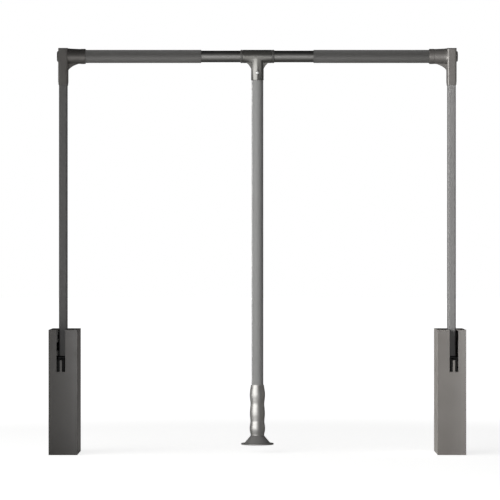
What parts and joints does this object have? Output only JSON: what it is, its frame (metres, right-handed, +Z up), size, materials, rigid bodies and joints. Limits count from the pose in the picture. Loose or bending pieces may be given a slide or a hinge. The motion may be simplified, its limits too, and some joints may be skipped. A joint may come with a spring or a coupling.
{
  "type": "pull down closet rod",
  "caption": "Wardrobe lift: a telescopic hanging rod on two spring-loaded arms that swing from slotted wall housings, with a tee and a pull rod with a swelled grip.",
  "frame": {"origin": "under the middle of the set, at the bottoms and mid-depth of the two housings", "axes": "+X from the left housing to the right one, -Y towards the person, +Z up"},
  "size_m": [0.817, 0.13, 0.8005],
  "materials": {
    "housing_paint": "satin graphite paint on moulded ABS",
    "arm_paint": "satin graphite paint on flat steel tube",
    "rod_paint": "satin graphite paint on round steel tube",
    "rod_steel": "dark satin nickel plate",
    "handle_steel": "baked silver grey lacquer",
    "elbow_plastic": "moulded graphite nylon",
    "tee_plastic": "moulded graphite plastic with a satin gloss",
    "grip_metal": "polished satin grey metal",
    "bell_plastic": "moulded graphite plastic",
    "button_chrome": "polished",
    "zinc_steel": "bright zinc plate",
    "black_zinc_steel": "zinc plate with black passivation",
    "spring_steel": "oiled dark spring steel",
    "black_screw": "black oxide",
    "buffer_rubber": "moulded",
    "bush_nylon": "natural nylon"
  },
  "bodies": {
    "left_housing": {"left_cover": "housing_paint", "left_chassis": "black_zinc_steel", "left_axle": "zinc_steel", "left_axle_clip": "spring_steel", "left_spacer": "bush_nylon", "left_standoff": "zinc_steel", "left_cover_screw": "black_screw", "left_buffer": "buffer_rubber", "left_spring": "spring_steel"},
    "left_arm": {"left_arm_tube": "arm_paint", "left_arm_bush": "bush_nylon", "left_crank_plate": "zinc_steel", "left_crank_pin": "zinc_steel", "left_rivet_lower": "zinc_steel", "left_rivet_upper": "zinc_steel", "left_elbow": "elbow_plastic", "left_end_cap": "elbow_plastic", "left_outer_tube": "rod_paint", "left_rod_screw": "black_screw", "left_arm_screw": "black_screw"},
    "left_spring_rod": {"left_yoke_rod": "zinc_steel", "left_spring_seat": "zinc_steel", "left_seat_nut": "zinc_steel"},
    "centre_tube": {"inner_tube": "rod_steel", "collar_left": "tee_plastic", "collar_right": "tee_plastic"},
    "pull_rod": {"tee": "tee_plastic", "rod_plug": "bush_nylon", "button_spring": "spring_steel", "pull_tube": "handle_steel", "grip": "grip_metal", "bell": "bell_plastic", "bell_screw": "zinc_steel"},
    "button": {"snap_button": "button_chrome"},
    "right_arm": {"right_arm_tube": "arm_paint", "right_arm_bush": "bush_nylon", "right_crank_plate": "zinc_steel", "right_crank_pin": "zinc_steel", "right_rivet_lower": "zinc_steel", "right_rivet_upper": "zinc_steel", "right_elbow": "elbow_plastic", "right_end_cap": "elbow_plastic", "right_outer_tube": "rod_paint", "right_rod_screw": "black_screw", "right_arm_screw": "black_screw"},
    "right_housing": {"right_cover": "housing_paint", "right_chassis": "black_zinc_steel", "right_axle": "zinc_steel", "right_axle_clip": "spring_steel", "right_spacer": "bush_nylon", "right_standoff": "zinc_steel", "right_cover_screw": "black_screw", "right_buffer": "buffer_rubber", "right_spring": "spring_steel"},
    "right_spring_rod": {"right_yoke_rod": "zinc_steel", "right_spring_seat": "zinc_steel", "right_seat_nut": "zinc_steel"}
  },
  "joints": [
    {"name": "left_swing", "type": "hinge", "parent": "left_housing", "child": "left_arm", "pos_m": [-0.3844, 0.016, 0.21], "axis": [1, 0, 0], "range_deg": [0, 96.5], "stiffness_Nm_per_rad": 12, "springref_deg": -20.05},
    {"name": "left_spring_slide", "type": "slide", "parent": "left_housing", "child": "left_spring_rod", "axis": [0, 0, 1], "range_m": [0, 0.0401], "deforming": ["left_spring"]},
    {"name": "left_telescope", "type": "slide", "parent": "left_arm", "child": "centre_tube", "axis": [1, 0, 0], "range_m": [-0.075, 0.036]},
    {"name": "handle_swing", "type": "hinge", "parent": "centre_tube", "child": "pull_rod", "pos_m": [0, 0.016, 0.7845], "axis": [1, 0, 0], "continuous": true},
    {"name": "button_press", "type": "slide", "parent": "pull_rod", "child": "button", "axis": [0, 1, 0], "range_m": [0, 0.0042], "stiffness_N_per_m": 300, "springref_m": -0.002, "deforming": ["button_spring"]},
    {"name": "right_telescope", "type": "slide", "parent": "centre_tube", "child": "right_arm", "axis": [1, 0, 0], "range_m": [-0.075, 0.036]},
    {"name": "right_swing", "type": "hinge", "parent": "right_arm", "child": "right_housing", "pos_m": [0.3844, 0.016, 0.21], "axis": [1, 0, 0], "range_deg": [-96.5, 0], "stiffness_Nm_per_rad": 12, "springref_deg": 20.05},
    {"name": "right_spring_slide", "type": "slide", "parent": "right_housing", "child": "right_spring_rod", "axis": [0, 0, 1], "range_m": [0, 0.0401], "deforming": ["right_spring"]}
  ],
  "couplings": [
    {"joint": "left_spring_slide", "follows": "left_swing", "m_per_rad": 0.02375},
    {"joint": "right_swing", "follows": "left_swing", "ratio": -1},
    {"joint": "right_spring_slide", "follows": "left_swing", "m_per_rad": 0.02375}
  ]
}
